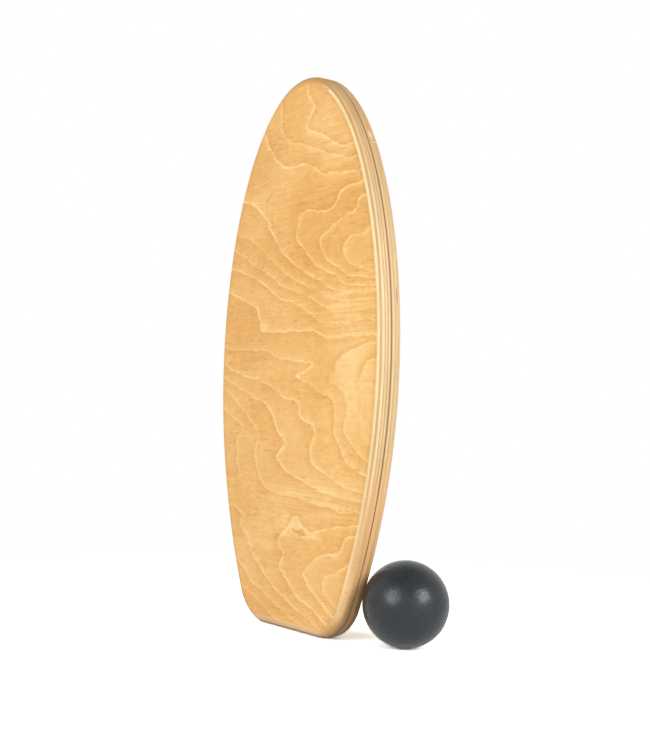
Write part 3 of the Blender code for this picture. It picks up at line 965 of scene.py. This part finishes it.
def ply_tones(wood, colour, height, depth):
    """A ply's colour, changed along the board and through its edge."""
    tan = wood.product(wood.ramp(height, *TAN_HEIGHTS), wood.ramp(depth, *TAN_DEPTHS))
    colour = wood.mix(tan, colour, TAIL_TAN)
    inner = wood.ramp(depth, *INNER_DEPTHS)
    colour = wood.mix(wood.product(wood.ramp(height, *NOSE_HEIGHTS), inner), colour, NOSE_TAN)
    # partly painted shade: the nose's very top, which faces up, is browner and darker
    colour = wood.mix(wood.ramp(height, *NOSE_TOP_SHADE_HEIGHTS), colour, NOSE_TOP_BROWN_SHADE)
    darker = wood.total(*[wood.ramp(height, *heights) for heights in DARKER_HEIGHTS])
    colour = wood.shade(colour, wood.one_minus(wood.product(darker, inner)))
    # painted light: the front plies near the tail are made lighter
    tail_painted_light = wood.product(wood.ramp(height, *TAIL_PAINTED_LIGHT_HEIGHTS), wood.ramp(depth, *TAIL_PAINTED_LIGHT_DEPTHS))
    colour = wood.shade(colour, wood.total(1.0, wood.product(tail_painted_light, inner)))

    tail_end = wood.product(wood.ramp(height, *TAIL_END_HEIGHTS), wood.ramp(depth, *TAIL_END_DEPTHS))
    colour = wood.mix(tail_end, colour, FACE_TAN)
    # painted highlight: the same cream band on the front plies at the tail's bottom
    tail_highlight = wood.product(wood.ramp(height, *TAIL_HIGHLIGHT_HEIGHTS, 0.0, 0.85), wood.ramp(depth, *TAIL_HIGHLIGHT_DEPTHS))
    colour = wood.mix(tail_highlight, colour, TAIL_HIGHLIGHT_CREAM)
    # painted shade beside the ball, partly scuff: the back plies near the tail turn brown
    shade_and_scuff = wood.product(wood.ramp(height, *SHADE_AND_SCUFF_HEIGHTS), wood.ramp(depth, *SHADE_AND_SCUFF_DEPTHS))
    shade_and_scuff = wood.product(shade_and_scuff, wood.one_minus(tail_end))
    # painted shade: the last millimetres above the floor are darkened
    shade_and_scuff = wood.maths("MAXIMUM", shade_and_scuff, wood.ramp(height, *FOOT_SHADE_HEIGHTS))
    return wood.mix(shade_and_scuff, colour, SHADE_AND_SCUFF_BROWN)


print("edge tones from", FOOT_SHADE_HEIGHTS[0], "to", NOSE_TOP_SHADE_HEIGHTS[1], "m up")

# %% [markdown]
# Under the veneers the plies alternate. In one the fibres run up the board, in the next across it.
# A ply shows long pale fibres where they lie in the surface, and darker end grain where they run out
# of it: the cross plies are dark at the sides, the others at the nose and tail. Which of the two a
# place shows follows from the way its surface faces, so the normal is asked, and no place on the
# board has to be marked by hand.

# %% End grain
TURNING_REACH = 0.05


def end_grain(wood, runs_up, height, pale_below):
    """How far the surface shows end grain, from 0 to 1, by which way it faces."""
    across, _, up = wood.split(wood.normal)
    square_across = wood.product(across, across)
    square_up = wood.product(up, up)
    both = wood.total(square_across, square_up, 0.0001)
    facing = wood.maths("DIVIDE", square_up if runs_up else square_across, both)
    share = wood.ramp(facing, 0.60, 0.97) if runs_up else wood.ramp(facing, 0.06, 0.45)
    if pale_below:
        share = wood.product(share, wood.ramp(height, pale_below, pale_below + TURNING_REACH, 0.25, 1.0))
    return share


print("a turning ply pales over", TURNING_REACH, "m")

# %% [markdown]
# The noise is stretched along a ply's fibres, so one pattern makes streaks on one side of the board
# and dots on the other by itself. The end grain is full of pores. A thin brown line darkens each
# glue joint, and the groove of the seam is darker still. Both follow values that are stored in the
# mesh, so they run evenly all round the board.

# %% Ply finish
LONG_GRAIN = (0.890, 0.660, 0.350)
END_GRAIN = (0.590, 0.365, 0.170)
GLUE_BROWN = (0.300, 0.150, 0.060)
SEAM_BAND_BROWN = (0.330, 0.140, 0.030)
SEAM_BROWN = (0.110, 0.045, 0.012)
FIBRES_UP = (900, 900, 22)
FIBRES_ACROSS = (22, 900, 900)
GLUE_SHARE = 0.12
SEAM_BAND_REACH = (0.0020, 0.0006, 0.0, 0.45)
SEAM_REACH = (0.00070, 0.00030, 0.0, 0.80)


def ply_finish(name, runs_up, tone, offset, marks, pale_below=0.0, flecked=None):
    """Birch ply edge. Tone makes it lighter or darker, and below a height its end grain pales."""
    wood = Finish(name)
    height = wood.split(wood.place)[2]
    depth = wood.maths("SUBTRACT", wood.split(wood.place)[1], FRONT)
    ends = end_grain(wood, runs_up, height, pale_below)
    fibre = wood.noise(FIBRES_UP if runs_up else FIBRES_ACROSS, 2.0, 0.6, offset)
    cloud = wood.noise((16, 16, 16), 3.0, 0.55, offset)
    colour = ply_tones(wood, wood.mix(ends, LONG_GRAIN, END_GRAIN), height, depth)
    colour = wood.shade(colour, wood.ramp(cloud, 0.30, 0.70, 0.89 * tone, 1.02 * tone))
    colour = wood.shade(colour, wood.ramp(fibre, 0.25, 0.75, 0.93, 1.05))

    pores = wood.dots((420, 420, 420), 0.35, 0.28, offset)
    colour = wood.mix(wood.product(ends, 0.35, pores), colour, GLUE_BROWN)
    through = wood.attribute("through")
    front_glue = wood.ramp(through, GLUE_SHARE, 0.0)
    back_glue = wood.ramp(through, 1.0 - GLUE_SHARE, 1.0)
    glue = wood.maths("MAXIMUM", front_glue, back_glue)
    colour = wood.mix(wood.product(glue, 0.42), colour, GLUE_BROWN)
    to_seam = wood.attribute("to_seam")
    colour = wood.mix(wood.ramp(to_seam, *SEAM_BAND_REACH), colour, SEAM_BAND_BROWN)
    colour = wood.mix(wood.ramp(to_seam, *SEAM_REACH), colour, SEAM_BROWN)
    if flecked:
        flecks = wood.dots((320, 340, 300), 0.50, 0.44, offset)
        colour = wood.mix(wood.product(wood.spot(*flecked), 0.60, flecks), colour, FLECK_BROWN)
    for mark_colour, strength, place in marks:
        colour = wood.mix(wood.product(wood.spot(*place), strength), colour, mark_colour)
    wood.bump(fibre, 0.00015, 0.5)
    return wood.finish(colour, wood.ramp(fibre, 0.3, 0.7, 0.46, 0.58), 0.40)


print("fibres run up or across,", FIBRES_UP[2], "streaks to the metre")

# %% [markdown]
# Real ply edges have small flaws, and these sit on the side towards the camera: a pin knot and a
# pale graze on the rim near the nose, a dark gap where a core ply is open, long paler or darker
# streaks where a ply's wood changes, and brown flecks where the round-over near the tail cuts
# through the first glue joint. Each is a colour, a strength and a place: a height and a depth behind
# the face, with half its size both ways, in metres.

# %% Marks on the edge
KNOT_BROWN = (0.200, 0.090, 0.035)
KNOT_TAN = (0.640, 0.390, 0.190)
GRAZE_PALE = (0.980, 0.800, 0.520)
STREAK_TAN = (0.680, 0.440, 0.210)
STREAK_PALE = (0.980, 0.530, 0.270)
DECK_MARKS = [
    (KNOT_BROWN, 0.45, (0.790, 0.0010, 0.0022, 0.0007)),
    (STREAK_TAN, 0.30, (0.570, 0.0145, 0.130, 0.0024)),
    (STREAK_PALE, 0.40, (0.165, 0.0140, 0.095, 0.0026)),
]
RIM_MARKS = [
    (GRAZE_PALE, 0.42, (0.7140, 0.0256, 0.0080, 0.0044)),
    (KNOT_TAN, 0.55, (0.7120, 0.0280, 0.0060, 0.0026)),
    (KNOT_BROWN, 0.50, (0.7180, 0.0268, 0.0036, 0.0008)),
    (GRAZE_PALE, 0.40, (0.7025, 0.0280, 0.0012, 0.0066)),
    (KNOT_BROWN, 0.95, (0.4820, 0.0280, 0.0150, 0.0007)),
    (STREAK_PALE, 0.40, (0.1500, 0.0212, 0.1300, 0.0026)),
    (STREAK_PALE, 0.35, (0.2300, 0.0280, 0.0600, 0.0022)),
    (STREAK_TAN, 0.30, (0.5500, 0.0218, 0.0900, 0.0022)),
    (STREAK_TAN, 0.60, (0.1950, 0.0322, 0.0900, 0.0026)),
]
FLECKED = (0.092, 0.0052, 0.046, 0.0038)
print(len(DECK_MARKS + RIM_MARKS), "marks")

# %% [markdown]
# Now the deck is built, ply by ply, from the face to the glue seam. The depths of the glue joints
# are those of the board's edge: a thin face veneer, plies of about two millimetres, and a thin
# veneer again at the back, which shows through the opening. Each ply is a piece of its own, which
# rides on the board. Only the veneers get many loops on their flat sides, since a figure is painted
# on their points. In the third ply the fibres turn near the tail, where its end grain pales.

# %% Deck plies
HIDDEN_CAP_STEPS = 1
VENEER_CAP_STEPS = 90
DECK_JOINTS = [0.0, 0.00035, 0.0022, 0.0042, 0.0071, 0.0089, 0.0108, 0.0128, 0.0160, 0.0175, DECK_BACK]
DECK_TONES = [1.0, 1.0, 0.98, 0.94, 1.03, 0.87, 0.98, 0.83, 1.03, 1.0]
FLECKED_PLIES = 5
TURNING_PLY = 3
TURNING_HEIGHT = 0.155


def set_depths(piece, start, stop):
    """Write how far through its ply each point lies, and how far it is from the seam."""
    depth = vertex_places(piece.data)[:, 1] - FRONT
    set_attribute(piece.data, "through", (depth - start) / (stop - start))
    set_attribute(piece.data, "to_seam", np.abs(depth - seam_depth))


def dress(piece, node, finish):
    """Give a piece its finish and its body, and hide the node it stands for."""
    piece.data.materials.append(finish)
    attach(piece, "ball" if node == "ball" else "board")
    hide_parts(node)


deck_plies = []
for number, (start, stop, tone) in enumerate(zip(DECK_JOINTS, DECK_JOINTS[1:], DECK_TONES), 1):
    is_face = number == 1
    is_back = stop == DECK_BACK
    front_steps = VENEER_CAP_STEPS if is_face else HIDDEN_CAP_STEPS
    back_steps = VENEER_CAP_STEPS if is_back else HIDDEN_CAP_STEPS
    ply = solid_ply(f"deck_ply_{number}", start, stop, front_steps, back_steps)
    if is_face or is_back:
        rings = add_figure(ply, DECK_BACK_STRETCH if is_back else FACE_STRETCH)
        print("deck veneer has rings", [round(float(value), 1) for value in rings])
        finish = face_finish if is_face else back_finish
    else:
        set_depths(ply, start, stop)
        finish = ply_finish(
            f"deck_ply_{number}_birch",
            runs_up=number % 2 == 0,
            tone=tone,
            offset=(number * 1.7, 0.0, 2.0),
            marks=DECK_MARKS,
            pale_below=TURNING_HEIGHT if number == TURNING_PLY else 0.0,
            flecked=FLECKED if number <= FLECKED_PLIES else None,
        )
    dress(ply, "deck", finish)
    deck_plies.append(ply)
print(len(deck_plies), "deck plies")

# %% [markdown]
# The rim is built the same way, with its opening, and ends in a veneer at the back. Between the two
# layers lies a film of glue, set a little back from the surface, so it darkens the bottom of the
# groove.

# %% Rim plies and glue
RIM_JOINTS = [RIM_FRONT, 0.0199, 0.0232, 0.0256, 0.0288, 0.0310, 0.0333, 0.03565, BOARD_THICKNESS]
RIM_TONES = [1.10, 0.87, 1.14, 0.81, 1.16, 0.92, 1.16, 1.0]
GLUE_INSET = 0.0010

rim_plies = []
for number, (start, stop, tone) in enumerate(zip(RIM_JOINTS, RIM_JOINTS[1:], RIM_TONES), 1):
    is_back = stop == BOARD_THICKNESS
    back_steps = VENEER_CAP_STEPS if is_back else HIDDEN_CAP_STEPS
    ply = open_ply(f"rim_ply_{number}", start, stop, HIDDEN_CAP_STEPS, back_steps)
    if is_back:
        add_figure(ply, RIM_BACK_STRETCH)
        finish = back_finish
    else:
        set_depths(ply, start, stop)
        finish = ply_finish(
            f"rim_ply_{number}_birch",
            runs_up=number % 2 == 0,
            tone=tone,
            offset=(number * 2.3, 9.0, 4.0),
            marks=RIM_MARKS,
        )
    dress(ply, "rim", finish)
    rim_plies.append(ply)


def glue_film():
    """The glue between deck and rim, as a thin ring."""
    sides = [at_depth(outline - outwards * GLUE_INSET, depth) for depth in (DECK_BACK, RIM_FRONT)]
    walls = [at_depth(opening_loop(GLUE_INSET), depth) for depth in (DECK_BACK, RIM_FRONT)]
    return loft("glue_film", [sides[0], sides[1], walls[1], walls[0]], closed=True)


def glue_finish():
    glue = Finish("wood_glue_brown")
    patch = glue.noise((300, 300, 300), 2.0, 0.5)
    colour = glue.mix(patch, SEAM_BROWN, GLUE_BROWN)
    return glue.finish(colour, 0.5, 0.4)


dress(glue_film(), "rim", glue_finish())
print(len(rim_plies), "rim plies and the glue")

# %% [markdown]
# The ball is solid moulded rubber. A sphere made from a cube has even faces all over and no poles, so
# neither the light nor the fine grain of the rubber pinches anywhere. Each face of the cube is
# divided, and every point is pushed out to the radius.

# %% Ball
BALL_CUTS = 47


def ball_mesh(name):
    work = bmesh.new()
    bmesh.ops.create_cube(work, size=2.0)
    bmesh.ops.subdivide_edges(work, edges=work.edges, cuts=BALL_CUTS, use_grid_fill=True)
    for vert in work.verts:
        even = Vector([math.tan(value * math.pi / 4) for value in vert.co])
        vert.co = even.normalized() * BALL_RADIUS
    mesh = bpy.data.meshes.new(name)
    work.to_mesh(mesh)
    work.free()
    mesh.shade_smooth()
    return mesh


ball = bpy.data.objects.new("ball_rubber", ball_mesh("ball_rubber"))
bpy.context.scene.collection.objects.link(ball)
ball.location = BALL_CENTRE
print("ball", len(ball.data.polygons), "faces")

# %% [markdown]
# The rubber is charcoal with a faint blue-green cast and a skin that is neither shiny nor dull: a
# fine orange-peel grain, a few duller patches where hands and the floor have rubbed it, and on its
# lower half a lighter grey that is partly a trace of dust and partly painted light from the white
# floor, stopping short of the foot, which stays dark. The patches go into the roughness more than the
# colour, because on rubber wear shows in the highlight first. Heights here are measured from the ball's
# centre.

# %% Rubber finish
CHARCOAL = (0.0180, 0.0215, 0.0243)
DUST_AND_FLOOR_LIGHT_GREY = (0.062, 0.066, 0.069)
DUST_AND_FLOOR_LIGHT_HEIGHTS = (0.005, -0.040, 0.0, 0.30)
DARK_FOOT_HEIGHTS = (-0.057, -0.046)


def rubber_finish():
    rubber = Finish("ball_rubber_charcoal")
    patch = rubber.noise((22, 22, 22), 4.0, 0.6)
    grain = rubber.noise((900, 900, 900), 2.0, 0.5)
    mottle = rubber.noise((210, 210, 210), 2.0, 0.5)
    height = rubber.split(rubber.place)[2]
    # dust and painted light: the lower half is lighter grey, partly dust and partly painted floor light;
    # the foot stays dark
    dust_and_floor_light = rubber.product(rubber.ramp(height, *DUST_AND_FLOOR_LIGHT_HEIGHTS), rubber.ramp(height, *DARK_FOOT_HEIGHTS))
    worn = rubber.ramp(patch, 0.35, 0.75, 0.0, 0.15)
    colour = rubber.mix(rubber.total(dust_and_floor_light, worn), CHARCOAL, DUST_AND_FLOOR_LIGHT_GREY)
    specks = rubber.dots((260, 260, 260), 0.05, 0.22)
    colour = rubber.mix(rubber.product(specks, 0.07), colour, DUST_AND_FLOOR_LIGHT_GREY)
    relief = rubber.total(rubber.product(grain, 0.15), mottle)
    rubber.bump(relief, 0.0008, 0.40)
    roughness = rubber.total(rubber.ramp(patch, 0.3, 0.7, 0.24, 0.31), rubber.around(mottle, 0.06))
    return rubber.finish(colour, roughness, 0.34)


dress(ball, "ball", rubber_finish())
print("rubber", [round(value, 3) for value in CHARCOAL])

# %% [markdown]
# The board stands in a white studio. The floor takes a soft shadow near the object and fades to
# plain white further out, so no horizon shows. The camera sees a mix: a glow of exactly white, and a
# share of real light that carries the shadow, tinted so that the shadow stays a neutral grey beside
# the warm wood. For the light that bounces from it to the object the floor is plain grey, and in the
# ball's reflections it is bright, as white paper would be.

# %% Floor
FLOOR_SIZE = 12.0
FLOOR_GREY = 0.50
SHADOW_SHARE = 0.90
SHADOW_GAIN = 2.42
SHADOW_TINT = (0.965, 1.0, 1.035)
MIRRORED_GLOW = 0.10
MIRRORED_GREY = 1.20
FADE_START = 0.45
FADE_STOP = 1.10
FLOOR_PLACE = (0.05, 0.02, -0.0002)


def floor_material():
    """Seen directly, mostly plain white with a share of real light that carries the shadow."""
    material = bpy.data.materials.new("studio_floor")
    material.use_nodes = True
    material.node_tree.nodes.clear()
    ground = NodeKit(material.node_tree)
    place = ground.node("ShaderNodeTexCoord")
    distance = ground.node("ShaderNodeVectorMath", "LENGTH")
    ground.feed(distance.inputs[0], place.outputs["Object"])
    share = ground.ramp(distance.outputs["Value"], FADE_START, FADE_STOP, SHADOW_SHARE, 0.0)

    path = ground.node("ShaderNodeLightPath")
    seen = path.outputs["Is Camera Ray"]
    mirrored = path.outputs["Is Glossy Ray"]
    unseen = ground.maths("SUBTRACT", ground.one_minus(seen), mirrored)
    white = ground.product(ground.one_minus(share), seen)
    glow = ground.node("ShaderNodeEmission")
    ground.feed(glow.inputs["Strength"], ground.total(white, ground.product(mirrored, MIRRORED_GLOW)))
    lit = ground.product(share, SHADOW_GAIN, seen)
    bounced = ground.total(ground.product(unseen, FLOOR_GREY), ground.product(mirrored, MIRRORED_GREY))
    diffuse = ground.node("ShaderNodeBsdfDiffuse")
    ground.feed(diffuse.inputs["Color"], ground.shade(SHADOW_TINT, ground.total(lit, bounced)))
    both = ground.node("ShaderNodeAddShader")
    ground.feed(both.inputs[0], glow.outputs[0])
    ground.feed(both.inputs[1], diffuse.outputs[0])
    output = ground.node("ShaderNodeOutputMaterial")
    ground.feed(output.inputs[0], both.outputs[0])
    return material


floor_mesh = bpy.data.meshes.new("floor")
work = bmesh.new()
bmesh.ops.create_grid(work, x_segments=1, y_segments=1, size=FLOOR_SIZE / 2)
work.to_mesh(floor_mesh)
work.free()
floor = bpy.data.objects.new("floor", floor_mesh)
floor.location = FLOOR_PLACE
floor_mesh.materials.append(floor_material())
bpy.context.scene.collection.objects.link(floor)
print("floor", FLOOR_SIZE, "m")

# %% [markdown]
# A soft box is a lamp behind a sheet of white cloth. Its size matters more than its strength: a large
# one gives soft shadows and a soft, slightly blurred highlight on the ball. One stands to the left of
# the camera for the face and one to the right for the edge, and a weak low strip in front lifts the
# tail a little, without a mirror image.

# %% Lamps
LIGHT_AIM = Vector((0.06, 0.0, 0.30))
SOFT_BOXES = {
    "left_soft_box": (Vector((0.66, -2.39, 1.15)), 1.7, 1.5, 41.0),
    "right_soft_box": (Vector((2.43, 0.52, 1.15)), 1.45, 1.30, 45.0),
    "low_fill": (Vector((0.05, -0.85, 0.10)), 0.9, 0.15, 0.6),
}


def add_soft_box(name, place, width, height, power):
    light = bpy.data.lights.new(name, "AREA")
    light.shape = "ELLIPSE"
    light.size = width
    light.size_y = height
    light.energy = power
    box = bpy.data.objects.new(name, light)
    box.location = place
    box.rotation_euler = (LIGHT_AIM - place).to_track_quat("-Z", "Y").to_euler()
    bpy.context.scene.collection.objects.link(box)
    return box


for name, (place, width, height, power) in SOFT_BOXES.items():
    box = add_soft_box(name, place, width, height, power)
    box.visible_glossy = name != "low_fill"
print(len(SOFT_BOXES), "lamps")

# %% [markdown]
# The room's white walls light the rest. The part of the ceiling above the camera is darker, as it is
# in a real studio, and the ball mirrors it as the dark band on its upper half. A picture of a real
# room could be wrapped round the scene for this, but a few nodes do it. What the camera sees behind
# the object is plain white, and this changes nothing about the light on the object.

# %% White room
ROOM_LIGHT = 0.53
CEILING_SHARE = 0.30
CEILING_MIDDLE = Vector((0.15, -0.10, 1.00)).normalized()
CEILING_EDGE = 0.55
CEILING_INNER = 0.92


def white_room():
    """White walls under a darker ceiling: plain white where they are seen, softer as a light."""
    world = bpy.data.worlds.new("studio")
    bpy.context.scene.world = world
    world.use_nodes = True
    room = NodeKit(world.node_tree)
    path = room.node("ShaderNodeLightPath")
    mirrored = room.maths("MAXIMUM", path.outputs["Is Glossy Ray"], path.outputs["Is Transmission Ray"])
    strength = room.ramp(mirrored, 0.0, 1.0, ROOM_LIGHT, 1.0)

    direction = room.node("ShaderNodeTexCoord")
    facing = room.node("ShaderNodeVectorMath", "DOT_PRODUCT")
    room.feed(facing.inputs[0], direction.outputs["Generated"])
    room.feed(facing.inputs[1], CEILING_MIDDLE)
    ceiling = room.ramp(facing.outputs["Value"], CEILING_EDGE, CEILING_INNER, 1.0, CEILING_SHARE)
    shaded = room.product(strength, ceiling)
    background = room.tree.nodes["Background"]
    room.feed(background.inputs["Color"], (1.0, 1.0, 1.0, 1.0))
    room.feed(background.inputs["Strength"], room.maths("MAXIMUM", path.outputs["Is Camera Ray"], shaded))


white_room()
bpy.context.scene.view_settings.view_transform = "Standard"
print("the room gives", ROOM_LIGHT, "and its ceiling", round(ROOM_LIGHT * CEILING_SHARE, 3))
